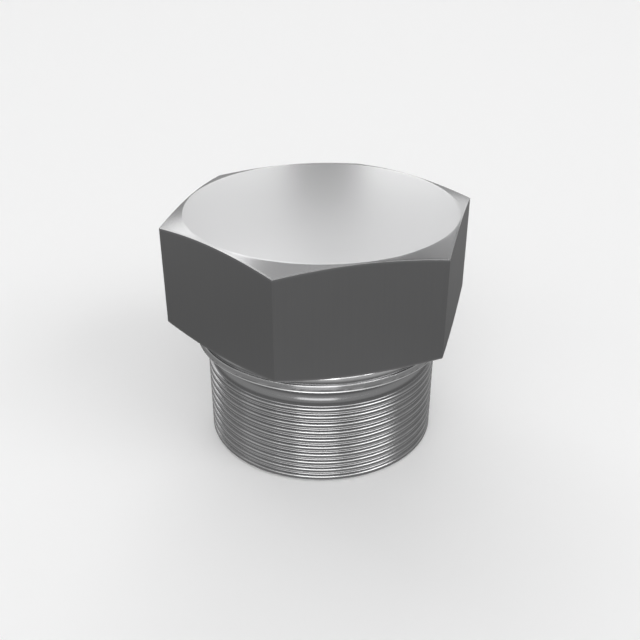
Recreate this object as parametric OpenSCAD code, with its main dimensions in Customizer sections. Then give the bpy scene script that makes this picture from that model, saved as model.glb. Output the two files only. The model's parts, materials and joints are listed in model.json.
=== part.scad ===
/* [Hexagon head] */
// Width across the flats of the hexagon
across_flats = 46; // [44:0.5:60]
// Height of the hexagon, chamfers included
head_height = 18.75; // [8:0.25:40]
// Slope of the turned chamfer on the top and on the underside, in degrees
chamfer_angle = 15; // [10:1:30]
// Distance from the flats in to the edge of the round top face
top_face_inset = 0.35; // [0.1:0.05:2]
// Distance from the flats in to the edge of the round underside
under_face_inset = 0.1; // [0.1:0.05:1]

/* [Neck under the head] */
// Height of the plain neck between the underside and the shoulder
neck_height = 0.85; // [0.3:0.05:4]
// Step from the shoulder in to the neck
neck_step = 1.5; // [1.4:0.05:2]
// Radius of the shoulder's round edge
shoulder_round = 1.2; // [0.4:0.1:1.4]
// Height of the straight wall of the shoulder, below its round edge
shoulder_wall = 0.4; // [0.1:0.05:4]
// Width of the narrow ledge between the shoulder and the lip
ledge_width = 0.3; // [0.1:0.05:1]

/* [Sealing lip] */
// Distance that the lip stands out past the crests of the thread
lip_reach = 1.75; // [1.4:0.05:3]
// Distance that the lip draws in from its nose up to the ledge
lip_draw_in = 0.3; // [0.1:0.05:1]
// Height of the conical part of the lip, from its nose up to the ledge
lip_taper_height = 0.7; // [0.3:0.05:3]
// Radius from the nose of the lip round to the seat face
lip_nose_round = 0.75; // [0.2:0.05:1]

/* [Thread relief] */
// Width of the relief, from the seat face to the end of the thread
relief_width = 3.25; // [3:0.05:8]
// Depth of the relief below the crests of the thread
relief_depth = 0.95; // [0.75:0.05:2]
// Radius of the corner between the floor of the relief and the seat face
relief_round = 1.5; // [0.4:0.1:1.6]
// Steepest angle of the double bend that leads from the floor of the relief out to the thread
run_out_angle = 30; // [25:1:45]

/* [Threaded shank] */
// Diameter over the crests of the thread
thread_dia = 40; // [30:0.5:42]
// Length of the threaded shank, from the end face to the relief
thread_length = 15.2; // [6:0.1:40]
// Chamfer on the end face, where the thread starts
end_chamfer = 0.4; // [0.2:0.05:0.6]
// Distance from one groove of the thread to the next
thread_pitch = 1.5; // [1.4:0.05:2]
// Angle between the two flanks of a groove
flank_angle = 60; // [50:1:65]
// Width of the flat crest between two grooves
crest_width = 0.26; // [0.15:0.01:0.3]
// Radius from the crest over to the flanks
crest_round = 0.3; // [0.1:0.01:0.35]
// Radius of the root of a groove
root_round = 0.25; // [0.1:0.01:0.3]
// Width of the plain band between the relief and the middle of the first groove
start_band = 0.32; // [0:0.02:0.6]

/* [Hidden] */
// Segment count of every round surface
$fn = 96;
// Number of flats on the head
head_sides = 6;
// Depth that the neck runs on inside the head, so that the two are one solid
root_depth = 2;
// Steel as it shows on the turned faces
steel = [0.56, 0.56, 0.57];

// Heights up the axis, from the end face
seat_z = thread_length + relief_width;
nose_z = seat_z + lip_nose_round;
ledge_z = nose_z + lip_taper_height;
shoulder_z = ledge_z + shoulder_wall;
neck_z = shoulder_z + shoulder_round;
head_z = neck_z + neck_height;
root_z = head_z + root_depth;

// Radii of the turned faces
thread_r = thread_dia / 2;
lip_r = thread_r + lip_reach;
lip_top_r = lip_r - lip_draw_in;
shoulder_r = lip_top_r - ledge_width;
shoulder_top_r = shoulder_r - shoulder_round;
neck_r = shoulder_r - neck_step;
relief_r = thread_r - relief_depth;

// Centre of the relief's round corner, and the top of its slope towards the thread
relief_centre_r = relief_r + relief_round;
relief_centre_z = seat_z - relief_round;

// Tilt of a flank's normal out of the level, and the size of a groove from its middle up
flank_tilt = 90 - flank_angle / 2;
groove_half = (thread_pitch - crest_width) / 2;
flank_height = groove_half - (crest_round + root_round) * sin(flank_tilt);
flank_depth = flank_height * tan(flank_tilt);
groove_depth = (crest_round + root_round) * (1 - cos(flank_tilt)) + flank_depth;
root_r = thread_r - groove_depth;

// Points where the flank meets the rounding of the root and of the crest, from the groove's middle
root_end = [root_r + root_round * (1 - cos(flank_tilt)), root_round * sin(flank_tilt)];
crest_end = root_end + [flank_depth, flank_height];

// Heights of the first groove and of the number of grooves that the shank has room for
top_groove_z = thread_length - start_band;
groove_count = floor((top_groove_z - thread_pitch / 2 - end_chamfer) / thread_pitch) + 1;

// Double bend from the floor of the relief out to the roots of the thread
run_out_rise = root_r - relief_r;
run_out_length = run_out_rise / tan(run_out_angle / 2);
run_out_round = run_out_length / 2 / sin(run_out_angle);
run_out_z = thread_length + run_out_length;

// Radii of the hexagon
corner_r = across_flats / 2 / cos(180 / head_sides);
top_face_r = across_flats / 2 - top_face_inset;
under_face_r = across_flats / 2 - under_face_inset;

// Cone that trims the corners of the hexagon: its flat end has the radius face_r
module chamfer_cone(face_r) {
    cylinder(h = head_height, r1 = face_r, r2 = face_r + head_height / tan(chamfer_angle));
}

// Hexagon with its corners on the X axis, chamfered on the top and on the underside
module hexagon_head() {
    translate([0, 0, head_z])
        intersection() {
            cylinder(h = head_height, r = corner_r, $fn = head_sides);
            chamfer_cone(under_face_r);
            translate([0, 0, head_height])
                mirror([0, 0, 1])
                    chamfer_cone(top_face_r);
        }
}

// Quarter of a disc about a centre, on the side that out and up give as 1 or -1
module quarter_disc(centre, radius, out, up) {
    translate(centre)
        intersection() {
            circle(r = radius);
            translate([min(out, 0) * radius, min(up, 0) * radius])
                square(radius);
        }
}

// Half section of all that is turned below the head, with a straight line across each rounding
module straight_section() {
    polygon([
        [0, 0],
        [thread_r - end_chamfer, 0],
        [thread_r, end_chamfer],
        [thread_r, top_groove_z],
        [root_r, top_groove_z],
        [root_r, thread_length],
        [(root_r + relief_r) / 2, (thread_length + run_out_z) / 2],
        [relief_r, run_out_z],
        [relief_r, relief_centre_z],
        [relief_centre_r, seat_z],
        [lip_r - lip_nose_round, seat_z],
        [lip_r, nose_z],
        [lip_top_r, ledge_z],
        [shoulder_r, ledge_z],
        [shoulder_r, shoulder_z],
        [shoulder_top_r, neck_z],
        [neck_r, neck_z],
        [neck_r, root_z],
        [0, root_z]
    ]);
}

// Section of one groove of the thread, with its middle at the given height
module groove(middle_z) {
    translate([0, middle_z])
        difference() {
            union() {
                translate([root_r + root_round, 0])
                    circle(r = root_round);
                polygon([
                    [root_end[0], -root_end[1]],
                    [crest_end[0], -crest_end[1]],
                    [thread_r, -groove_half],
                    [thread_r + groove_depth, -groove_half],
                    [thread_r + groove_depth, groove_half],
                    [thread_r, groove_half],
                    crest_end,
                    root_end
                ]);
            }
            for (side = [-1, 1])
                translate([thread_r - crest_round, side * groove_half])
                    circle(r = crest_round);
        }
}

// Shank with its grooves, relief, lip, shoulder and neck, turned in one piece
module turned_shank() {
    rotate_extrude()
        difference() {
            union() {
                straight_section();
                quarter_disc([lip_r - lip_nose_round, nose_z], lip_nose_round, 1, -1);
                quarter_disc([shoulder_top_r, shoulder_z], shoulder_round, 1, 1);
                quarter_disc([root_r - run_out_round, thread_length], run_out_round, 1, 1);
            }
            quarter_disc([relief_centre_r, relief_centre_z], relief_round, -1, 1);
            quarter_disc([relief_r + run_out_round, run_out_z], run_out_round, -1, -1);
            for (turn = [0 : groove_count - 1])
                groove(top_groove_z - turn * thread_pitch);
        }
}

// The whole plug: a solid hexagon head on a solid turned shank
module plug_body() {
    color(steel)
        union() {
            hexagon_head();
            turned_shank();
        }
}

plug_body();
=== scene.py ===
"""Hexagon head screw plug with a fine thread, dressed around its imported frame.

The plug is one turned piece of steel. Its axis is Z, its end face lies at z = 0 and two corners of
the hexagon lie on X. Lengths are in metres. Angles are in radians, and in degrees where a name or a
docstring says so.
"""

import json
import logging
import math
from dataclasses import dataclass
from enum import Enum
from typing import Any

import bmesh
import bpy
from mathutils import Matrix, Vector

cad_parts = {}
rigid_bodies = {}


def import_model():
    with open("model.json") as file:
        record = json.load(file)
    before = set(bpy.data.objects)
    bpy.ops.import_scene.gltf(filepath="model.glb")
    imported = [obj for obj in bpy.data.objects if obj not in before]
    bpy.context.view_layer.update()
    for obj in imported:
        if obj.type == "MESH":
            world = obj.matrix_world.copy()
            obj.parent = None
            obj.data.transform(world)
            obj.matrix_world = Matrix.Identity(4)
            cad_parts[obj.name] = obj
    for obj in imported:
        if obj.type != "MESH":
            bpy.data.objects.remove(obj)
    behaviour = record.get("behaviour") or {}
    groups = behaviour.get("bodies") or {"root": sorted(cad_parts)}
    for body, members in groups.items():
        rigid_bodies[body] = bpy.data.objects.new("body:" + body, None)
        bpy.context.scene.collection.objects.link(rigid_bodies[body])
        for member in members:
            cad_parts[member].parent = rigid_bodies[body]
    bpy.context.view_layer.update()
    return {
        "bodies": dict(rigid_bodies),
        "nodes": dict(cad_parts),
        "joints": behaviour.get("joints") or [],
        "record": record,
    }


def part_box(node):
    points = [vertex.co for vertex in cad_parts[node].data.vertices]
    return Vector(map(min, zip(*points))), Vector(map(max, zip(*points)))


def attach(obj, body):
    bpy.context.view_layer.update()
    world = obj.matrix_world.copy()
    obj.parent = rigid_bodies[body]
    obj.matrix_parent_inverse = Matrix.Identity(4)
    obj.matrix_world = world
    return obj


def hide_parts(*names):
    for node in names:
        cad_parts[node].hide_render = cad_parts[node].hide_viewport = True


MM = 0.001
FULL_TURN = 2 * math.pi
BODY = "root"
NODE = "plug_body"
PIECE = "screw_plug"
# Mesh attribute of how much each point is rubbed; the materials also lighten the colour by it as a
# painted highlight.
WEAR_AND_HIGHLIGHT = "wear_and_highlight"
SOCKET = "NodeSocket"
LEAST_TURN = 1e-6
STRAIGHT_PARTS = 3
FLAT_WEIGHT = 100
AIM = (0.0, 0.0, 0.02)

log = logging.getLogger("screw_plug")

Colour = tuple[float, float, float]
Input = Any


class Finish(Enum):
    """How a face of the plug was made, in the order of its material slots."""

    DRAWN = 0
    TURNED = 1
    CUT = 2


# Node trees


class Wiring:
    """Places nodes in a node tree and joins them by the names of their sockets."""

    def __init__(self, tree: bpy.types.NodeTree) -> None:
        """Takes up a node tree.

        Args:
            tree: A material's, a world's or a geometry tree, or a group of nodes.
        """
        self.tree = tree

    def feed(self, socket: bpy.types.NodeSocket, value: Input) -> None:
        """Gives an input its value.

        Args:
            socket: The input to fill.
            value: Another node's output, which is linked, or a plain value.
        """
        if isinstance(value, bpy.types.NodeSocket):
            self.tree.links.new(value, socket)
        else:
            socket.default_value = value

    def add(
        self, kind: str, inputs: dict[str, Input] | None = None, **settings: Any
    ) -> bpy.types.Node:
        """Adds a node.

        Args:
            kind: The node's type, as Blender names it.
            inputs: Values or outputs of other nodes for its inputs, by name.
            settings: The node's own properties.

        Returns:
            The new node.
        """
        node = self.tree.nodes.new(kind)
        for name, value in settings.items():
            setattr(node, name, value)
        for name, value in (inputs or {}).items():
            self.feed(node.inputs[name], value)
        return node

    def math(self, operation: str, *terms: Input) -> bpy.types.NodeSocket:
        """Adds a Math node.

        Args:
            operation: What the node works out.
            terms: Its terms in order.

        Returns:
            The output that holds the result.
        """
        node = self.tree.nodes.new("ShaderNodeMath")
        node.operation = operation
        for socket, term in zip(node.inputs, terms):
            self.feed(socket, term)
        return node.outputs[0]

    def blend(self, low: Input, high: Input, share: Input) -> bpy.types.NodeSocket:
        """Runs from one value to another.

        Args:
            low: The value at a share of 0.
            high: The value at a share of 1.
            share: How far the result has run from low to high.

        Returns:
            The output that holds the result.
        """
        node = self.add("ShaderNodeMapRange", {"Value": share, "To Min": low, "To Max": high})
        return node.outputs["Result"]

    def mix(self, low: Input, high: Input, share: Input) -> bpy.types.NodeSocket:
        """Runs from one colour to another.

        Args:
            low: The colour at a share of 0.
            high: The colour at a share of 1.
            share: How far the result has run from low to high.

        Returns:
            The output that holds the result.
        """
        node = self.add("ShaderNodeMix", {"Factor": share}, data_type="RGBA")
        sockets = {socket.identifier: socket for socket in [*node.inputs, *node.outputs]}
        for name, colour in (("A_Color", low), ("B_Color", high)):
            self.feed(sockets[name], (*colour, 1.0) if isinstance(colour, tuple) else colour)
        return sockets["Result_Color"]

    def ramp(self, value: Input, start: Input, end: Input) -> bpy.types.NodeSocket:
        """Rises smoothly from 0 to 1 between two values.

        Args:
            value: The value to judge.
            start: Where the result leaves 0.
            end: Where the result reaches 1.

        Returns:
            The output that holds the result.
        """
        node = self.add(
            "ShaderNodeMapRange",
            {"Value": value, "From Min": start, "From Max": end},
            interpolation_type="SMOOTHSTEP",
        )
        return node.outputs["Result"]

    def noise(self, vector: Input, detail: float, scale: Input = 1.0) -> bpy.types.NodeSocket:
        """Adds noise.

        Args:
            vector: Where it is read.
            detail: How many finer layers it has.
            scale: Lumps to each unit of the vector.

        Returns:
            The output with values round 0.5.
        """
        node = self.add("ShaderNodeTexNoise", {"Vector": vector, "Scale": scale, "Detail": detail})
        return node.outputs["Fac"]


def new_group(
    name: str, kind: str, inputs: dict[str, tuple[str, Any]], outputs: dict[str, str]
) -> tuple[Wiring, bpy.types.Node, bpy.types.Node]:
    """Starts a group of nodes with named inputs and outputs.

    Args:
        name: The group's name.
        kind: The type of tree.
        inputs: Each input's socket type, less its common prefix, and its value.
        outputs: Each output's socket type, less its common prefix.

    Returns:
        The group's wiring, its input node and its output node.
    """
    tree = bpy.data.node_groups.new(name, kind)
    for label, (socket, value) in inputs.items():
        made = tree.interface.new_socket(name=label, in_out="INPUT", socket_type=SOCKET + socket)
        if value is not None:
            made.default_value = value
    for label, socket in outputs.items():
        tree.interface.new_socket(name=label, in_out="OUTPUT", socket_type=SOCKET + socket)
    wiring = Wiring(tree)
    return wiring, wiring.add("NodeGroupInput"), wiring.add("NodeGroupOutput")


# Half sections and the skin of the plug


@dataclass(frozen=True)
class Corner:
    """Corner of a half section.

    Attributes:
        radius: Distance from the axis.
        height: Height up the axis.
        rounding: Radius of the arc that rounds the corner, or 0 for an end of the section.
        steps: Straight steps along that arc.
        wear_and_highlight_share: How much the corner is rubbed, and lightened in colour as a
            painted highlight, from 0 to 1.
    """

    radius: float
    height: float
    rounding: float = 0.0
    steps: int = 3
    wear_and_highlight_share: float = 0.0

    @property
    def place(self) -> Vector:
        """The corner as a point of the half plane."""
        return Vector((self.radius, self.height))


@dataclass(frozen=True)
class Station:
    """Point of a half section at which the skin has a ring.

    Attributes:
        radius: Distance from the axis.
        height: Height up the axis.
        wear_and_highlight_share: How much the surface is rubbed there, and lightened in colour as a
            painted highlight, from 0 to 1.
    """

    radius: float
    height: float
    wear_and_highlight_share: float


def arc(before: Corner, corner: Corner, after: Corner) -> list[Vector]:
    """Rounds a corner.

    Args:
        before: The corner before it.
        corner: The corner that is rounded.
        after: The corner after it.

    Returns:
        The points along the rounding, or the corner alone if it is sharp.
    """
    arriving = (corner.place - before.place).normalized()
    leaving = (after.place - corner.place).normalized()
    turn = math.atan2(
        arriving.x * leaving.y - arriving.y * leaving.x,
        arriving.dot(leaving),
    )
    if not corner.rounding or abs(turn) < LEAST_TURN:
        return [corner.place] * (corner.steps + 1)
    start = corner.place - arriving * corner.rounding * math.tan(abs(turn) / 2)
    inward = Vector((-arriving.y, arriving.x)) * math.copysign(corner.rounding, turn)
    centre = start + inward
    return [
        centre + Matrix.Rotation(turn * step / corner.steps, 2) @ -inward
        for step in range(corner.steps + 1)
    ]


def stations(corners: list[Corner], margin: float) -> list[Station]:
    """Walks along a half section.

    Args:
        corners: The section's corners from its start to its end, both of them sharp.
        margin: Width of the strip beside a rounding over which its wear and painted highlight fade.
            On a short straight
        stretch the strip is one of its STRAIGHT_PARTS.

    Returns:
        The stations in order, with the two ends.
    """
    arcs = [[corners[0].place]]
    arcs += [arc(*three) for three in zip(corners, corners[1:], corners[2:])]
    arcs += [[corners[-1].place]]
    walk: list[Station] = []
    for corner, points, following in zip(corners, arcs, arcs[1:] + [None]):
        walk += [Station(*point, corner.wear_and_highlight_share) for point in points]
        if following is None:
            break
        straight = following[0] - points[-1]
        inset = straight.normalized() * min(margin, straight.length / STRAIGHT_PARTS)
        walk.append(Station(*(points[-1] + inset), 0.0))
        walk.append(Station(*(following[0] - inset), 0.0))
    return walk


class Skin:
    """Closed surface of the plug, built as rings of points about the axis, from the top down."""

    def __init__(self, steps: int) -> None:
        """Starts an empty surface.

        Args:
            steps: Points round a turned ring.
        """
        self.steps = steps
        self.mesh = bmesh.new()
        self.wear_and_highlight = self.mesh.verts.layers.float.new(WEAR_AND_HIGHLIGHT)

    def take(self, mesh: bpy.types.Mesh, finish: Finish) -> None:
        """Adds a mesh whose open edges match rings of the skin.

        Args:
            mesh: The mesh, with its own wear and painted highlight.
            finish: The finish of all its faces.
        """
        self.mesh.from_mesh(mesh)
        self.wear_and_highlight = self.mesh.verts.layers.float[WEAR_AND_HIGHLIGHT]
        for face in self.mesh.faces:
            face.material_index = finish.value

    def azimuths(self) -> list[float]:
        """The directions of a turned ring's points."""
        return [FULL_TURN * step / self.steps for step in range(self.steps)]

    def ring(self, azimuths: list[float], places: list[Station]) -> list[bmesh.types.BMVert]:
        """Adds a ring of points.

        Args:
            azimuths: The direction of each point.
            places: The radius, the height and the share of wear and painted highlight of each
                point.

        Returns:
            The ring's points.
        """
        ring = []
        for azimuth, place in zip(azimuths, places):
            across = place.radius * math.cos(azimuth), place.radius * math.sin(azimuth)
            point = self.mesh.verts.new((*across, place.height))
            point[self.wear_and_highlight] = place.wear_and_highlight_share
            ring.append(point)
        return ring

    def turned_ring(self, place: Station) -> list[bmesh.types.BMVert]:
        """Adds a circle of points at one station."""
        return self.ring(self.azimuths(), [place] * self.steps)

    def walk(self, section: list[Station], finish: Finish) -> list[list[bmesh.types.BMVert]]:
        """Adds the turned surface of a half section.

        Args:
            section: The stations of the half section.
            finish: The finish of all its faces.

        Returns:
            The rings of points.
        """
        rings = [self.turned_ring(place) for place in section]
        for before, after in zip(rings, rings[1:]):
            self.band(before, after, finish)
        return rings

    def face(self, points: list[bmesh.types.BMVert], finish: Finish) -> None:
        """Adds one face with its finish."""
        self.mesh.faces.new(points).material_index = finish.value

    def band(
        self, before: list[bmesh.types.BMVert], after: list[bmesh.types.BMVert], finish: Finish
    ) -> None:
        """Joins two rings that have as many points as each other.

        Args:
            before: The ring that comes first on the way from the top to the foot.
            after: The ring that comes next.
            finish: The finish of the faces.
        """
        count = len(before)
        for i in range(count):
            j = (i + 1) % count
            self.face([after[i], after[j], before[j], before[i]], finish)

    def narrow(
        self,
        before: list[bmesh.types.BMVert],
        after: list[bmesh.types.BMVert],
        shared: list[int],
        finish: Finish,
    ) -> None:
        """Joins a ring to one with fewer points.

        Args:
            before: The ring with more points.
            after: The ring with fewer points.
            shared: For each point of the second ring, the place of its match in the first ring.
            finish: The finish of the faces.
        """
        count = len(after)
        for i in range(count):
            j = (i + 1) % count
            last = shared[j] if j else len(before)
            between = [before[k % len(before)] for k in range(last, shared[i] - 1, -1)]
            self.face([after[i], after[j], *between], finish)

    def close(
        self, ring: list[bmesh.types.BMVert], height: float, finish: Finish, top: bool
    ) -> None:
        """Closes a ring with a disc about a point on the axis.

        Args:
            ring: The ring to close.
            height: Height of the point on the axis.
            finish: The finish of the disc.
            top: Whether the disc looks up.
        """
        pole = self.mesh.verts.new((0.0, 0.0, height))
        for here, following in zip(ring, ring[1:] + ring[:1]):
            self.face([here, following, pole] if top else [following, here, pole], finish)

    def sealed(self, name: str, merge: float) -> bpy.types.Mesh:
        """Merges the joints between the parts of the skin.

        Args:
            name: The mesh's name.
            merge: Points closer than this become one.

        Returns:
            The closed mesh.
        """
        bmesh.ops.remove_doubles(self.mesh, verts=self.mesh.verts[:], dist=merge)
        open_edges = sum(len(edge.link_faces) != 2 for edge in self.mesh.edges)
        log.info("%s: %d faces, %d open edges", name, len(self.mesh.faces), open_edges)
        mesh = bpy.data.meshes.new(name)
        self.mesh.to_mesh(mesh)
        self.mesh.free()
        return mesh


# Sub-assemblies of the plug


@dataclass
class HexagonHead:
    """Hexagon with a turned chamfer on the top and on the underside.

    Attributes:
        across_flats: Width across the flats.
        top: Height of the top face.
        height: Height of the hexagon, chamfers included.
        chamfer: Slope of the chamfers.
        top_inset: Distance from the flats in to the edge of the round top face.
        under_inset: Distance from the flats in to the edge of the round underside.
        corner_rounding: Radius of the six upright corners.
        edge_rounding: Radius to which the edges are broken.
        margin: Width of the strip beside an edge over which its wear and painted highlight fade.
        circle_wear_and_highlight: How much the edges of the top face and the underside are rubbed,
            and lightened in colour as a painted highlight.
        edge_wear_and_highlight: How much the edges of the flats are rubbed, and lightened in colour
            as a painted highlight.
        sides: Number of flats.
    """

    across_flats: float
    top: float
    height: float = 18.75 * MM
    chamfer: float = math.radians(15)
    top_inset: float = 0.35 * MM
    under_inset: float = 0.1 * MM
    corner_rounding: float = 0.14 * MM
    edge_rounding: float = 0.06 * MM
    margin: float = 0.4 * MM
    circle_wear_and_highlight: float = 0.1
    edge_wear_and_highlight: float = 0.2
    sides: int = 6

    @property
    def base(self) -> float:
        """Height of the underside."""
        return self.top - self.height

    @property
    def half_sector(self) -> float:
        """Angle from the middle of a flat to its corner."""
        return math.pi / self.sides

    @property
    def corner_width(self) -> float:
        """Angle from a corner to where its rounding meets the flat."""
        share = 1 - self.corner_rounding / (self.across_flats / 2)
        return self.half_sector - math.atan(share * math.tan(self.half_sector))

    def from_corner(self, azimuth: float) -> float:
        """Angle between a direction and the nearest corner."""
        sector = 2 * self.half_sector
        return abs((azimuth + self.half_sector) % sector - self.half_sector)

    def reach(self, azimuth: float) -> float:
        """Works out the outline of the hexagon.

        Args:
            azimuth: Direction from the axis.

        Returns:
            Distance from the axis to the flat or to the rounded corner.
        """
        off = self.from_corner(azimuth)
        apothem = self.across_flats / 2
        if off >= self.corner_width:
            return apothem / math.cos(self.half_sector - off)
        centre = (apothem - self.corner_rounding) / math.cos(self.half_sector)
        return centre * math.cos(off) + math.sqrt(
            self.corner_rounding**2 - (centre * math.sin(off)) ** 2
        )

    def azimuths(self, turned: list[float]) -> list[float]:
        """Adds the points that the rounded corners need to those of a turned ring.

        Args:
            turned: Directions of a turned ring's points.

        Returns:
            Directions of the points round the head, in rising order.
        """
        shares = (-1.0, -0.5, 0.5, 1.0)
        extra = [
            (corner * 2 * self.half_sector + share * self.corner_width) % FULL_TURN
            for corner in range(self.sides)
            for share in shares
        ]
        return sorted(turned + extra)

    def section(self, azimuth: float, inner: float) -> list[Station]:
        """Walks down the head in one direction, from its top face to the neck.

        Args:
            azimuth: The direction.
            inner: Radius at which the walk starts on the top face and ends on the underside.

        Returns:
            The stations.
        """
        reach = self.reach(azimuth)
        top_edge = self.across_flats / 2 - self.top_inset
        under_edge = self.across_flats / 2 - self.under_inset
        slope = math.tan(self.chamfer)
        upper = self.top - (reach - top_edge) * slope
        lower = self.base + (reach - under_edge) * slope
        edge = self.edge_rounding
        return stations(
            [
                Corner(inner, self.top),
                Corner(top_edge, self.top, edge, steps=2, wear_and_highlight_share=self.circle_wear_and_highlight),
                Corner(reach, upper, edge, steps=4, wear_and_highlight_share=self.edge_wear_and_highlight),
                Corner(reach, lower, edge, steps=4, wear_and_highlight_share=self.edge_wear_and_highlight),
                Corner(under_edge, self.base, edge, steps=2, wear_and_highlight_share=self.circle_wear_and_highlight),
                Corner(inner, self.base),
            ],
            self.margin,
        )

    def finish(self, before: Station, after: Station) -> Finish:
        """Tells the finish of a band of the head.

        Args:
            before: A station above the band, in the direction of a corner.
            after: The station below it.

        Returns:
            Drawn for the flats, and turned above and below them.
        """
        steep = abs(after.height - before.height) > abs(after.radius - before.radius)
        return Finish.DRAWN if steep else Finish.TURNED

    def build(self, skin: Skin, neck: float) -> None:
        """Adds the head to the skin, down to the circle at which the neck starts.

        Args:
            skin: The skin to add to.
            neck: Radius of the neck.
        """
        turned = skin.azimuths()
        azimuths = self.azimuths(turned)
        shared = [azimuths.index(azimuth) for azimuth in turned]
        columns = [self.section(azimuth, neck) for azimuth in azimuths]
        rings = [skin.ring(azimuths, list(row)) for row in list(zip(*columns))[:-1]]
        skin.close(rings[0], self.top, Finish.TURNED, top=True)
        for i, (before, after) in enumerate(zip(columns[0][:-2], columns[0][1:-1])):
            skin.band(rings[i], rings[i + 1], self.finish(before, after))
        foot = skin.turned_ring(Station(neck, self.base, 0.0))
        skin.narrow(rings[-1], foot, shared, Finish.TURNED)


@dataclass
class ThreadedShank:
    """Shank with the level ridges of its fine thread.

    Attributes:
        crest_radius: Radius of the crests.
        length: Height of the end of the thread, where the relief starts.
        pitch: Distance from one ridge to the next.
        flank_tilt: Angle by which a flank's normal leaves the level.
        crest_width: Width of the flat on a crest.
        crest_rounding: Radius from the crest over to the flanks.
        root_rounding: Radius of the root of a groove.
        start_band: Width of the plain band between the relief and the middle of the first groove.
        end_chamfer: Chamfer on the end face.
        edge_rounding: Radius to which the edges of that chamfer are broken.
        margin: Width of the strip beside an edge over which its wear and painted highlight fade.
        crest_wear_and_highlight: How much the crests are rubbed, and lightened in colour as a
            painted highlight.
        foot_wear_and_highlight: How much the edge of the end face is rubbed, and lightened in
            colour as a painted highlight.
        inner_share: Share of the end face's radius that the disc in its middle takes.
    """

    crest_radius: float
    length: float
    pitch: float = 1.5 * MM
    flank_tilt: float = math.radians(60)
    crest_width: float = 0.26 * MM
    crest_rounding: float = 0.3 * MM
    root_rounding: float = 0.25 * MM
    start_band: float = 0.32 * MM
    end_chamfer: float = 0.4 * MM
    edge_rounding: float = 0.06 * MM
    margin: float = 0.1 * MM
    crest_wear_and_highlight: float = 0.5
    foot_wear_and_highlight: float = 0.6
    inner_share: float = 0.9

    @property
    def crest_reach(self) -> float:
        """Distance from a ridge's middle to where its crest and a flank would meet unrounded."""
        return self.crest_width / 2 + self.crest_rounding * math.tan(self.flank_tilt / 2)

    @property
    def root_reach(self) -> float:
        """Distance from a groove's middle to where its root and a flank would meet unrounded."""
        return self.root_rounding * math.tan(self.flank_tilt / 2)

    @property
    def root_radius(self) -> float:
        """Radius of the roots of the grooves."""
        flank_height = self.pitch / 2 - self.crest_reach - self.root_reach
        return self.crest_radius - flank_height * math.tan(self.flank_tilt)

    @property
    def top_groove(self) -> float:
        """Height of the middle of the highest groove."""
        return self.length - self.start_band

    @property
    def whole_ridges(self) -> int:
        """Number of ridges above the lowest one, which ends in the chamfer."""
        return math.floor((self.top_groove - self.pitch / 2 - self.end_chamfer) / self.pitch)

    def root(self, height: float) -> Corner:
        """Gives the corner between a groove's root and a flank."""
        return Corner(self.root_radius, height, self.root_rounding, steps=4)

    def crest(self, height: float) -> Corner:
        """Gives the corner between a ridge's crest and a flank."""
        return Corner(self.crest_radius, height, self.crest_rounding, steps=4, wear_and_highlight_share=self.crest_wear_and_highlight)

    def ridge(self) -> list[Station]:
        """Walks over one ridge about height 0, between the middles of its two grooves.

        Returns:
            The stations.
        """
        half = self.pitch / 2
        return stations(
            [
                Corner(self.root_radius, half),
                self.root(half - self.root_reach),
                self.crest(self.crest_reach),
                self.crest(-self.crest_reach),
                self.root(self.root_reach - half),
                Corner(self.root_radius, -half),
            ],
            self.margin,
        )

    def end(self) -> list[Station]:
        """Walks over the lowest ridge, from the middle of the groove above it to the end face.

        Returns:
            The stations.
        """
        groove = self.top_groove - self.whole_ridges * self.pitch
        crest_edge = groove - self.pitch / 2 + self.crest_reach
        end_radius = self.crest_radius - self.end_chamfer
        edge = self.edge_rounding
        return stations(
            [
                Corner(self.root_radius, groove),
                self.root(groove - self.root_reach),
                self.crest(crest_edge),
                Corner(self.crest_radius, self.end_chamfer, edge, steps=2, wear_and_highlight_share=self.crest_wear_and_highlight),
                Corner(end_radius, 0.0, edge, steps=2, wear_and_highlight_share=self.foot_wear_and_highlight),
                Corner(end_radius * self.inner_share, 0.0),
            ],
            self.margin,
        )

    def tree(self, inputs: dict[str, tuple[str, Any]]) -> bpy.types.NodeTree:
        """Builds the tree of nodes that repeats one ridge down the shank.

        Args:
            inputs: Each input's socket type and value.

        Returns:
            The tree, which takes the ridge as its geometry.
        """
        net, given, result = new_group(
            "ridges", "GeometryNodeTree", inputs, {"Geometry": "Geometry"}
        )
        value = given.outputs
        start = net.add("ShaderNodeCombineXYZ", {"Z": value["Highest Ridge"]})
        step = net.add("ShaderNodeCombineXYZ", {"Z": net.math("MULTIPLY", value["Pitch"], -1.0)})
        line = net.add(
            "GeometryNodeMeshLine",
            {
                "Count": value["Ridges"],
                "Start Location": start.outputs["Vector"],
                "Offset": step.outputs["Vector"],
            },
        )
        copies = net.add(
            "GeometryNodeInstanceOnPoints",
            {"Points": line.outputs["Mesh"], "Instance": value["Geometry"]},
        )
        whole = net.add("GeometryNodeRealizeInstances", {"Geometry": copies.outputs["Instances"]})
        merged = net.add(
            "GeometryNodeMergeByDistance",
            {"Geometry": whole.outputs["Geometry"], "Distance": value["Merge Distance"]},
        )
        dressed = net.add(
            "GeometryNodeSetMaterial",
            {"Geometry": merged.outputs["Geometry"], "Material": value["Finish"]},
        )
        net.feed(result.inputs["Geometry"], dressed.outputs["Geometry"])
        return net.tree

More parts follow.
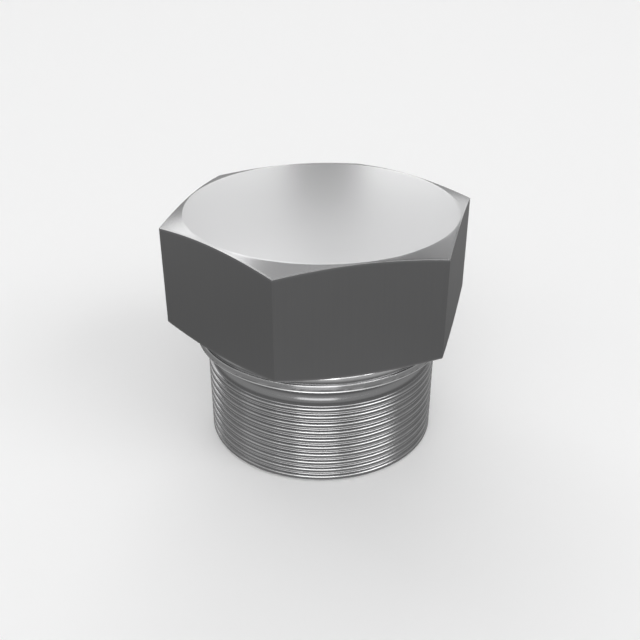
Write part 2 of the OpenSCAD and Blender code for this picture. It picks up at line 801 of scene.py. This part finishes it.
    def mesh(self, steps: int, merge: float, material: bpy.types.Material) -> bpy.types.Mesh:
        """Repeats the ridge and turns the result into a plain mesh.

        Args:
            steps: Points round a ring.
            merge: Points closer than this become one.
            material: The finish of the thread.

        Returns:
            The surface of the ridges, open at both ends.
        """
        inputs = {
            "Geometry": ("Geometry", None),
            "Highest Ridge": ("Float", self.top_groove - self.pitch / 2),
            "Pitch": ("Float", self.pitch),
            "Ridges": ("Int", self.whole_ridges),
            "Merge Distance": ("Float", merge),
            "Finish": ("Material", material),
        }
        tree = self.tree(inputs)
        band = Skin(steps)
        band.walk(self.ridge(), Finish.CUT)
        ridge = bpy.data.objects.new("ridge", band.sealed("ridge", merge))
        bpy.context.scene.collection.objects.link(ridge)
        modifier = ridge.modifiers.new("ridges", "NODES")
        modifier.node_group = tree
        for socket in tree.interface.items_tree:
            if socket.in_out == "INPUT" and socket.name != "Geometry":
                modifier[socket.identifier] = inputs[socket.name][1]
        evaluated = ridge.evaluated_get(bpy.context.evaluated_depsgraph_get())
        mesh = bpy.data.meshes.new_from_object(evaluated)
        bpy.data.objects.remove(ridge)
        return mesh

    def build(self, skin: Skin, merge: float, material: bpy.types.Material) -> None:
        """Adds the thread and the end face to the skin, which holds nothing yet.

        Args:
            skin: The skin to add to.
            merge: Points closer than this become one.
            material: The finish of the thread.
        """
        skin.take(self.mesh(skin.steps, merge, material), Finish.CUT)
        rings = skin.walk(self.end(), Finish.CUT)
        skin.close(rings[-1], 0.0, Finish.TURNED, top=False)


@dataclass
class SealingCollar:
    """Neck, shoulder and sealing lip, and the relief between the lip and the thread.

    Attributes:
        shank: The shank below the collar.
        seat: Height of the seat face on the underside of the lip.
        head: Height of the underside of the head.
        lip_reach: Distance that the lip stands out past the crests.
        lip_draw_in: Distance that the lip draws in from its nose up to the ledge.
        lip_taper: Height of the conical part of the lip.
        lip_nose: Radius from the nose of the lip round to the seat face.
        ledge: Width of the ledge between the shoulder and the lip.
        shoulder_wall: Height of the straight wall of the shoulder.
        shoulder_rounding: Radius of the shoulder's round edge.
        neck_step: Step from the shoulder in to the neck.
        relief_width: Width of the relief, from the seat face to the end of the thread.
        relief_depth: Depth of the relief below the crests.
        relief_rounding: Radius of the corner between the relief and the seat face.
        run_out_angle: Steepest angle of the double bend from the relief out to the thread.
        edge_rounding: Radius to which the edges are broken.
        margin: Width of the strip beside an edge over which its wear and painted highlight fade.
        wear_and_highlight: How much the shoulder, the ledge and the lip are rubbed, and lightened
            in colour as a painted highlight.
    """

    shank: ThreadedShank
    seat: float
    head: float
    lip_reach: float = 1.75 * MM
    lip_draw_in: float = 0.3 * MM
    lip_taper: float = 0.7 * MM
    lip_nose: float = 0.75 * MM
    ledge: float = 0.3 * MM
    shoulder_wall: float = 0.4 * MM
    shoulder_rounding: float = 1.2 * MM
    neck_step: float = 1.5 * MM
    relief_width: float = 3.25 * MM
    relief_depth: float = 0.95 * MM
    relief_rounding: float = 1.5 * MM
    run_out_angle: float = math.radians(30)
    edge_rounding: float = 0.06 * MM
    margin: float = 0.2 * MM
    wear_and_highlight: float = 1.0

    @property
    def lip_radius(self) -> float:
        """Radius of the nose of the lip."""
        return self.shank.crest_radius + self.lip_reach

    @property
    def ledge_radius(self) -> float:
        """Radius at which the lip meets the ledge."""
        return self.lip_radius - self.lip_draw_in

    @property
    def shoulder_radius(self) -> float:
        """Radius of the wall of the shoulder."""
        return self.ledge_radius - self.ledge

    @property
    def neck_radius(self) -> float:
        """Radius of the neck."""
        return self.shoulder_radius - self.neck_step

    def bends(self) -> list[Corner]:
        """Works out the round corner of the relief and the double bend out to the thread.

        Returns:
            Their corners, from the seat face down.
        """
        relief_radius = self.shank.crest_radius - self.relief_depth
        rise = self.shank.root_radius - relief_radius
        length = rise / math.tan(self.run_out_angle / 2)
        rounding = length / 2 / math.sin(self.run_out_angle)
        middle = self.shank.length + length / 2
        off = rise / 2 / math.tan(self.run_out_angle)
        return [
            Corner(relief_radius, self.seat, self.relief_rounding, steps=12),
            Corner(relief_radius, middle + off, rounding, steps=6),
            Corner(self.shank.root_radius, middle - off, rounding, steps=6),
        ]

    def section(self) -> list[Station]:
        """Walks down from the underside of the head to the middle of the highest groove.

        Returns:
            The stations.
        """
        nose = self.seat + self.lip_nose
        ledge = nose + self.lip_taper
        shoulder_top = ledge + self.shoulder_wall + self.shoulder_rounding
        edge, shoulder, wear_and_highlight = self.edge_rounding, self.shoulder_rounding, self.wear_and_highlight
        return stations(
            [
                Corner(self.neck_radius, self.head),
                Corner(self.neck_radius, shoulder_top, edge, steps=2),
                Corner(self.shoulder_radius, shoulder_top, shoulder, steps=10, wear_and_highlight_share=wear_and_highlight),
                Corner(self.shoulder_radius, ledge, edge, steps=2),
                Corner(self.ledge_radius, ledge, edge, steps=3, wear_and_highlight_share=wear_and_highlight),
                Corner(self.lip_radius, nose, steps=1, wear_and_highlight_share=wear_and_highlight),
                Corner(self.lip_radius, self.seat, self.lip_nose, steps=8, wear_and_highlight_share=wear_and_highlight),
                *self.bends(),
                Corner(self.shank.root_radius, self.shank.top_groove),
            ],
            self.margin,
        )

    def build(self, skin: Skin) -> None:
        """Adds the collar to the skin."""
        skin.walk(self.section(), Finish.CUT)


# Finishes


def turning_marks() -> bpy.types.NodeTree:
    """Builds the group for the fine rings that a lathe tool leaves.

    Returns:
        The group, with a height and a tone that change from ring to ring.
    """
    net, given, result = new_group(
        "turning_marks",
        "ShaderNodeTree",
        {
            "Vector": ("Vector", None),
            "Feed": ("Float", 0.2 * MM),
            "Chatter": ("Float", 0.3),
            "Broad Scale": ("Float", 0.16),
            "Patch Scale": ("Float", 180.0),
        },
        {"Height": "Float", "Tone": "Float"},
    )
    place = net.add("ShaderNodeSeparateXYZ", {"Vector": given.outputs["Vector"]})
    x, y, z = place.outputs
    squares = net.math("ADD", net.math("MULTIPLY", x, x), net.math("MULTIPLY", y, y))
    radius = net.math("SQRT", squares)
    fine = net.add(
        "ShaderNodeCombineXYZ",
        {
            "X": net.math("DIVIDE", radius, given.outputs["Feed"]),
            "Y": net.math("DIVIDE", z, given.outputs["Feed"]),
        },
    )
    rings = net.noise(fine.outputs["Vector"], detail=2.0)
    broad = net.noise(fine.outputs["Vector"], detail=1.0, scale=given.outputs["Broad Scale"])
    patches = net.noise(given.outputs["Vector"], detail=2.0, scale=given.outputs["Patch Scale"])
    tone = net.blend(broad, patches, given.outputs["Chatter"])
    net.feed(result.inputs["Height"], rings)
    net.feed(result.inputs["Tone"], tone)
    return net.tree


def smudges() -> bpy.types.NodeTree:
    """Builds the group for the faint smudges that handling leaves.

    Returns:
        The group, with a value round 0.5 that drifts over the surface.
    """
    net, given, result = new_group(
        "smudges",
        "ShaderNodeTree",
        {"Vector": ("Vector", None), "Smudge Scale": ("Float", 70.0)},
        {"Smudge": "Float"},
    )
    smudge = net.noise(given.outputs["Vector"], detail=4.0, scale=given.outputs["Smudge Scale"])
    net.feed(result.inputs["Smudge"], smudge)
    return net.tree


def rubbed_and_highlighted_edges() -> bpy.types.NodeTree:
    """Builds the group for edges that are rubbed bright.

    Returns:
        The group, with a mask of rubbed edges, broken up by noise, which the materials also use for
        a painted highlight.
    """
    net, given, result = new_group(
        "rubbed_and_highlighted_edges",
        "ShaderNodeTree",
        {
            "Vector": ("Vector", None),
            "Break Up": ("Float", 250.0),
            "Least": ("Float", 0.65),
            "Patchy Below": ("Float", 0.35),
            "Whole Above": ("Float", 0.65),
        },
        {"Mask": "Float"},
    )
    # Share of wear read from the mesh, which also sets where the painted highlight goes.
    wear_and_highlight_share = net.add("ShaderNodeAttribute", attribute_type="GEOMETRY", attribute_name=WEAR_AND_HIGHLIGHT)
    noise = net.noise(given.outputs["Vector"], detail=3.0, scale=given.outputs["Break Up"])
    whole = net.ramp(noise, given.outputs["Patchy Below"], given.outputs["Whole Above"])
    share = net.blend(given.outputs["Least"], 1.0, whole)
    mask = net.math("MULTIPLY", wear_and_highlight_share.outputs["Fac"], share)
    net.feed(result.inputs["Mask"], mask)
    return net.tree


@dataclass(frozen=True)
class SharedMarks:
    """The groups of nodes that the three finishes share.

    Attributes:
        turning: Rings left by a lathe tool.
        smudges: Faint smudges left by handling.
        edges: Edges that are rubbed, with their painted highlight.
    """

    turning: bpy.types.NodeTree
    smudges: bpy.types.NodeTree
    edges: bpy.types.NodeTree


@dataclass(frozen=True)
class SteelFinish:
    """Plain unplated steel.

    Attributes:
        name: The material's name.
        colour: Colour of the clean surface.
        dull: Colour under smudges and in the valleys of the marks.
        roughness: Roughness of the clean surface.
        spread: How much the marks change the roughness.
        bump: Height of the marks.
        smudging: How far smudges, and not the marks, decide where it is dull.
        rubbing: Share of the roughness that a rubbed edge loses.
        painted_highlight_colour: Light colour mixed in on rubbed edges as a painted highlight.
    """

    name: str
    colour: Colour
    dull: Colour
    roughness: float
    spread: float
    bump: float
    smudging: float = 0.5
    rubbing: float = 0.25
    painted_highlight_colour: Colour = (0.85, 0.85, 0.855)

    def begin(self, marks: SharedMarks) -> tuple[bpy.types.Material, Wiring, Input, Input, Input]:
        """Starts the material.

        Args:
            marks: The shared groups.

        Returns:
            The material, its wiring, its object coordinates, the smudges and the mask of rubbed
            edges, which also places their painted highlight.
        """
        material = bpy.data.materials.new(self.name)
        material.use_nodes = True
        material.node_tree.nodes.clear()
        net = Wiring(material.node_tree)
        vector = net.add("ShaderNodeTexCoord").outputs["Object"]
        smudged = net.add("ShaderNodeGroup", node_tree=marks.smudges)
        net.feed(smudged.inputs["Vector"], vector)
        edges = net.add("ShaderNodeGroup", node_tree=marks.edges)
        net.feed(edges.inputs["Vector"], vector)
        return material, net, vector, smudged.outputs["Smudge"], edges.outputs["Mask"]

    def finish(
        self, net: Wiring, dullness: Input, roughness: Input, height: Input, edge: Input
    ) -> None:
        """Ends the material in its shader.

        Args:
            net: The material's wiring.
            dullness: Share of the dull colour, from 0 to 1.
            roughness: Value round 0.5 that the roughness follows.
            height: Value round 0.5 that the bump follows.
            edge: Mask of the rubbed edges, which also places their painted highlight.
        """
        # The edge mask mixes in a light colour, a painted highlight on the rubbed edges; the
        # roughness it takes off below is their real wear.
        colour = net.mix(net.mix(self.colour, self.dull, dullness), self.painted_highlight_colour, edge)
        low = self.roughness - self.spread / 2
        rough = net.blend(low, low + self.spread, roughness)
        lost = net.math("MULTIPLY", edge, self.roughness * self.rubbing)
        rubbed = net.math("SUBTRACT", rough, lost)
        bump = net.add(
            "ShaderNodeBump",
            {"Strength": 1.0, "Distance": self.bump, "Height": height},
        )
        shader = net.add(
            "ShaderNodeBsdfPrincipled",
            {
                "Base Color": colour,
                "Metallic": 1.0,
                "Roughness": rubbed,
                "Normal": bump.outputs["Normal"],
            },
        )
        output = net.add("ShaderNodeOutputMaterial")
        net.feed(output.inputs["Surface"], shader.outputs["BSDF"])


@dataclass(frozen=True)
class DrawnSteel(SteelFinish):
    """Flats of the drawn hexagon bar, with faint lines along the axis.

    Attributes:
        line_width: Width of a line.
        line_length: Length of a line.
    """

    name: str = "drawn_flats"
    # The colour is partly the drawn finish and partly painted shade, which keeps the upright flats
    # darker than the turned top face.
    colour: Colour = (0.42, 0.42, 0.425)
    dull: Colour = (0.37, 0.37, 0.373)
    roughness: float = 0.3
    spread: float = 0.08
    bump: float = 0.003 * MM
    line_width: float = 0.22 * MM
    line_length: float = 12 * MM

    def material(self, marks: SharedMarks) -> bpy.types.Material:
        """Builds the material.

        Args:
            marks: The shared groups.

        Returns:
            The material.
        """
        material, net, vector, smudge, edge = self.begin(marks)
        across, along = 1 / self.line_width, 1 / self.line_length
        stretched = net.add(
            "ShaderNodeMapping", {"Vector": vector, "Scale": (across, across, along)}
        )
        lines = net.noise(stretched.outputs["Vector"], detail=3.0)
        dullness = net.blend(lines, smudge, self.smudging)
        self.finish(net, dullness, smudge, lines, edge)
        return material


@dataclass(frozen=True)
class TurnedSteel(SteelFinish):
    """Faces that were turned on a lathe, with fine rings.

    Attributes:
        feed: Distance from one ring to the next.
    """

    name: str = "turned_faces"
    colour: Colour = (0.52, 0.52, 0.525)
    dull: Colour = (0.47, 0.47, 0.474)
    roughness: float = 0.2
    spread: float = 0.06
    bump: float = 0.001 * MM
    smudging: float = 0.4
    feed: float = 0.22 * MM

    def material(self, marks: SharedMarks) -> bpy.types.Material:
        """Builds the material.

        Args:
            marks: The shared groups.

        Returns:
            The material.
        """
        material, net, vector, smudge, edge = self.begin(marks)
        turning = net.add("ShaderNodeGroup", node_tree=marks.turning)
        net.feed(turning.inputs["Vector"], vector)
        net.feed(turning.inputs["Feed"], self.feed)
        tone, height = turning.outputs["Tone"], turning.outputs["Height"]
        dullness = net.blend(tone, smudge, self.smudging)
        self.finish(net, dullness, tone, height, edge)
        return material


@dataclass(frozen=True)
class CutSteel(TurnedSteel):
    """Collar and thread, which were cut with a finer feed and came out brighter."""

    name: str = "cut_thread"
    colour: Colour = (0.5, 0.5, 0.505)
    dull: Colour = (0.44, 0.44, 0.444)
    roughness: float = 0.19
    bump: float = 0.0002 * MM
    feed: float = 0.12 * MM


# Studio and camera


@dataclass(frozen=True)
class PhotoCamera:
    """Camera that stands where the photograph was taken.

    Attributes:
        place: Where it stands.
        pitch_degrees: Turn from looking straight down.
        heading_degrees: Turn about the upright axis.
        lens: Focal length in millimetres.
        sensor: Width of the sensor in millimetres.
        near: Distance from which it sees.
        far: Distance to which it sees.
    """

    place: tuple[float, float, float] = (-33.68 * MM, -125.6 * MM, 90.67 * MM)
    pitch_degrees: float = 61.43
    heading_degrees: float = -14.92
    lens: float = 47.19
    sensor: float = 36.0
    near: float = 5 * MM
    far: float = 100.0

    def build(self) -> bpy.types.Object:
        """Adds the camera and makes it the scene's own.

        Returns:
            The camera.
        """
        data = bpy.data.cameras.new("photo_camera")
        data.lens = self.lens
        data.sensor_width = self.sensor
        data.clip_start = self.near
        data.clip_end = self.far
        pitch, heading = math.radians(self.pitch_degrees), math.radians(self.heading_degrees)
        camera = bpy.data.objects.new("photo_camera", data)
        camera.location = self.place
        camera.rotation_euler = (pitch, 0.0, heading)
        bpy.context.scene.collection.objects.link(camera)
        bpy.context.scene.camera = camera
        return camera


@dataclass(frozen=True)
class SoftBox:
    """Soft rectangular lamp that faces the plug.

    Attributes:
        name: The lamp's name.
        bearing: Its direction from the plug in degrees, counted from the camera's to the right.
        elevation: Its height above the horizon in degrees.
        width: Its width in degrees, as the plug sees it.
        height: Its height in degrees, as the plug sees it.
        glow: How bright its face looks, where 1 is white.
        distance: Its distance from the plug.
    """

    name: str
    bearing: float
    elevation: float
    width: float
    height: float
    glow: float
    distance: float = 6.0

    def extent(self, degrees: float) -> float:
        """Works out how long a side is.

        Args:
            degrees: The angle that it fills, as the plug sees it.

        Returns:
            Its length.
        """
        return 2 * self.distance * math.tan(math.radians(degrees) / 2)

    def build(self, camera_heading: float, aim: Vector) -> bpy.types.Object:
        """Adds the lamp.

        Args:
            camera_heading: Direction from the plug to the camera, about the upright axis.
            aim: The point that the lamp faces.

        Returns:
            The lamp.
        """
        data = bpy.data.lights.new(self.name, "AREA")
        data.shape = "RECTANGLE"
        data.size, data.size_y = self.extent(self.width), self.extent(self.height)
        data.energy = self.glow * math.pi * data.size * data.size_y
        heading = camera_heading + math.radians(self.bearing)
        rise = math.radians(self.elevation)
        away = Vector(
            (math.cos(heading) * math.cos(rise), math.sin(heading) * math.cos(rise), math.sin(rise))
        )
        lamp = bpy.data.objects.new(self.name, data)
        lamp.location = aim + away * self.distance
        lamp.rotation_euler = away.to_track_quat("Z", "Y").to_euler()
        lamp.visible_camera = False
        bpy.context.scene.collection.objects.link(lamp)
        return lamp


@dataclass(frozen=True)
class SkyLevel:
    """Brightness of the surround at one elevation.

    Attributes:
        elevation: Height above the horizon in degrees.
        glow: How bright it looks, where 1 is white.
    """

    elevation: float
    glow: float


SOFT_BOXES = (
    SoftBox("front_box", bearing=-4, elevation=40, width=34, height=28, glow=1.7),
    SoftBox("front_wide", bearing=-6, elevation=40, width=66, height=28, glow=1.0),
    SoftBox("front_low", bearing=-4, elevation=20, width=36, height=12, glow=1.0),
    SoftBox("right_box", bearing=57, elevation=38, width=28, height=24, glow=2.2),
    SoftBox("right_wide", bearing=55, elevation=38, width=44, height=26, glow=0.9),
    SoftBox("left_fill", bearing=-62, elevation=33, width=40, height=20, glow=0.5),
    SoftBox("back_left_box", bearing=217, elevation=37, width=26, height=26, glow=1.15),
    SoftBox("back_left_low", bearing=216, elevation=17, width=26, height=13, glow=0.45),
    SoftBox("back_left_peak", bearing=185, elevation=36, width=6, height=20, glow=0.5),
    SoftBox("back_left_top", bearing=222, elevation=50, width=26, height=16, glow=0.6),
    SoftBox("back_right_lobe", bearing=173, elevation=14, width=8, height=10, glow=1.7),
    SoftBox("back_left_lobe", bearing=187, elevation=14, width=9, height=10, glow=1.35),
    SoftBox("back_base", bearing=181, elevation=27, width=42, height=12, glow=0.9),
    SoftBox("back_top", bearing=181, elevation=40, width=27, height=12, glow=2.9),
    SoftBox("back_high", bearing=185, elevation=61, width=26, height=14, glow=0.42),
    SoftBox("back_right_low", bearing=152, elevation=14, width=26, height=14, glow=0.65),
    SoftBox("back_right_high", bearing=152, elevation=35, width=26, height=14, glow=0.28),
)
SKY = (
    SkyLevel(elevation=-90, glow=4.0),
    SkyLevel(elevation=-70, glow=0.7),
    SkyLevel(elevation=-30, glow=0.15),
    SkyLevel(elevation=-5, glow=0.38),
    SkyLevel(elevation=15, glow=0.37),
    SkyLevel(elevation=35, glow=0.2),
    SkyLevel(elevation=50, glow=0.3),
    SkyLevel(elevation=65, glow=0.15),
    SkyLevel(elevation=90, glow=0.3),
)


@dataclass(frozen=True)
class Studio:
    """Plain pale floor in plain soft light.

    Attributes:
        boxes: The soft boxes round the plug.
        sky: Levels of the surround, from straight below to straight above.
        floor_reach: Half the width of the floor.
        floor_colour: Colour of the floor.
        floor_roughness: Roughness of the floor.
        floor_lamp_width: Width of the lamp that lights the floor alone.
        floor_lamp_height: Height of that lamp above the floor.
        floor_lamp_glow: How bright the face of that lamp is, where 1 is white.
    """

    boxes: tuple[SoftBox, ...] = SOFT_BOXES
    sky: tuple[SkyLevel, ...] = SKY
    floor_reach: float = 30.0
    floor_colour: Colour = (0.93, 0.93, 0.93)
    floor_roughness: float = 0.9
    floor_lamp_width: float = 6.0
    floor_lamp_height: float = 4.0
    floor_lamp_glow: float = 0.4

    def floor(self) -> bpy.types.Object:
        """Adds the floor, which the steel doesn't mirror.

        Returns:
            The floor.
        """
        reach = self.floor_reach
        mesh = bpy.data.meshes.new("floor")
        corners = [(-reach, -reach), (reach, -reach), (reach, reach), (-reach, reach)]
        mesh.from_pydata([(x, y, 0.0) for x, y in corners], [], [(0, 1, 2, 3)])
        material = bpy.data.materials.new("floor")
        material.use_nodes = True
        shader = material.node_tree.nodes["Principled BSDF"]
        shader.inputs["Base Color"].default_value = (*self.floor_colour, 1.0)
        shader.inputs["Roughness"].default_value = self.floor_roughness
        shader.inputs["Specular IOR Level"].default_value = 0.0
        mesh.materials.append(material)
        floor = bpy.data.objects.new("floor", mesh)
        floor.visible_glossy = False
        bpy.context.scene.collection.objects.link(floor)
        return floor

    def floor_lamp(self) -> bpy.types.Object:
        """Adds the lamp that lights the floor and leaves the steel as it is.

        Returns:
            The lamp.
        """
        data = bpy.data.lights.new("floor_lamp", "AREA")
        data.size = self.floor_lamp_width
        data.energy = self.floor_lamp_glow * math.pi * self.floor_lamp_width**2
        lamp = bpy.data.objects.new("floor_lamp", data)
        lamp.location = (0.0, 0.0, self.floor_lamp_height)
        lamp.visible_camera = lamp.visible_glossy = False
        bpy.context.scene.collection.objects.link(lamp)
        return lamp

    def world(self) -> None:
        """Sets the soft surround, whose brightness follows the elevation."""
        world = bpy.data.worlds.new("studio")
        world.use_nodes = True
        world.node_tree.nodes.clear()
        net = Wiring(world.node_tree)
        way = net.add("ShaderNodeTexCoord").outputs["Generated"]
        up = net.add("ShaderNodeSeparateXYZ", {"Vector": way}).outputs["Z"]
        share = net.math("MULTIPLY_ADD", net.math("ARCSINE", up), 1 / math.pi, 0.5)
        levels = net.add("ShaderNodeValToRGB", {"Fac": share})
        brightest = max(level.glow for level in self.sky)
        ramp = levels.color_ramp
        while len(ramp.elements) < len(self.sky):
            ramp.elements.new(1.0)
        for element, level in zip(ramp.elements, self.sky):
            grey = level.glow / brightest
            element.position = level.elevation / 180 + 0.5
            element.color = (grey, grey, grey, 1.0)
        light = net.add(
            "ShaderNodeBackground", {"Color": levels.outputs["Color"], "Strength": brightest}
        )
        output = net.add("ShaderNodeOutputWorld")
        net.feed(output.inputs["Surface"], light.outputs["Background"])
        bpy.context.scene.world = world

    def build(self, camera: bpy.types.Object, aim: Vector) -> None:
        """Adds the floor, the lamps and the surround.

        Args:
            camera: The camera, from which the bearings of the lamps are counted.
            aim: The point that the lamps face.
        """
        self.floor()
        self.floor_lamp()
        self.world()
        heading = math.atan2(camera.location.y - aim.y, camera.location.x - aim.x)
        for box in self.boxes:
            box.build(heading, aim)


# The whole plug


@dataclass
class ScrewPlug:
    """The whole plug, as one closed piece.

    Attributes:
        head: The hexagon.
        collar: The neck, the lip and the relief.
        shank: The threaded shank.
        steps: Points round a turned ring.
        merge: Points closer than this become one.
        sharp: Edges that turn by more than this are shaded as sharp.
    """

    head: HexagonHead
    collar: SealingCollar
    shank: ThreadedShank
    steps: int = 216
    merge: float = 1e-6
    sharp: float = math.radians(50)

    @classmethod
    def from_frame(cls, frame: dict[str, Any]) -> "ScrewPlug":
        """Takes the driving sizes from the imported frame.


        Returns:
            The plug.
        """
        low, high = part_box(NODE)
        mounts = {mount["name"]: mount for mount in frame["record"]["mounts"]}
        crest = mounts["thread"]["dims"]["r_mm"] * MM
        seat = mounts["seat"]["pos_m"][2]
        head = HexagonHead(across_flats=high.y - low.y, top=high.z)
        shank = ThreadedShank(crest_radius=crest, length=seat - SealingCollar.relief_width)
        collar = SealingCollar(shank=shank, seat=seat, head=head.base)
        return cls(head=head, collar=collar, shank=shank)

    def build(self) -> bpy.types.Object:
        """Builds the plug, dresses it and ties it to the frame.

        Returns:
            The finished piece.
        """
        marks = SharedMarks(turning_marks(), smudges(), rubbed_and_highlighted_edges())
        finishes = {
            Finish.DRAWN: DrawnSteel().material(marks),
            Finish.TURNED: TurnedSteel().material(marks),
            Finish.CUT: CutSteel().material(marks),
        }
        skin = Skin(self.steps)
        self.shank.build(skin, self.merge, finishes[Finish.CUT])
        log.info("threaded shank built")
        self.collar.build(skin)
        log.info("sealing collar built")
        self.head.build(skin, self.collar.neck_radius)
        log.info("hexagon head built")
        mesh = skin.sealed(PIECE, self.merge)
        for finish in Finish:
            mesh.materials.append(finishes[finish])
        piece = self.shaded(mesh)
        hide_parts(NODE)
        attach(piece, BODY)
        return piece

    def shaded(self, mesh: bpy.types.Mesh) -> bpy.types.Object:
        """Shades the plug smooth, with its flats kept flat by the weight of their faces.

        Args:
            mesh: The closed mesh.

        Returns:
            The piece, with no modifier left on it.
        """
        mesh.shade_smooth()
        mesh.set_sharp_from_angle(angle=self.sharp)
        piece = bpy.data.objects.new(PIECE, mesh)
        bpy.context.scene.collection.objects.link(piece)
        modifier = piece.modifiers.new("weighted_normals", "WEIGHTED_NORMAL")
        modifier.keep_sharp = True
        modifier.weight = FLAT_WEIGHT
        evaluated = piece.evaluated_get(bpy.context.evaluated_depsgraph_get())
        plain = bpy.data.meshes.new_from_object(evaluated)
        piece.modifiers.clear()
        piece.data = plain
        plain.name = PIECE
        return piece


def main() -> None:
    """Builds the plug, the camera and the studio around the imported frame."""
    logging.basicConfig(level=logging.INFO, format="%(name)s: %(message)s")
    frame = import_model()
    plug = ScrewPlug.from_frame(frame)
    piece = plug.build()
    log.info("%s: %d points", piece.name, len(piece.data.vertices))
    camera = PhotoCamera().build()
    Studio().build(camera, Vector(AIM))
    bpy.context.scene.view_settings.view_transform = "Standard"


if __name__ == "__main__":
    main()
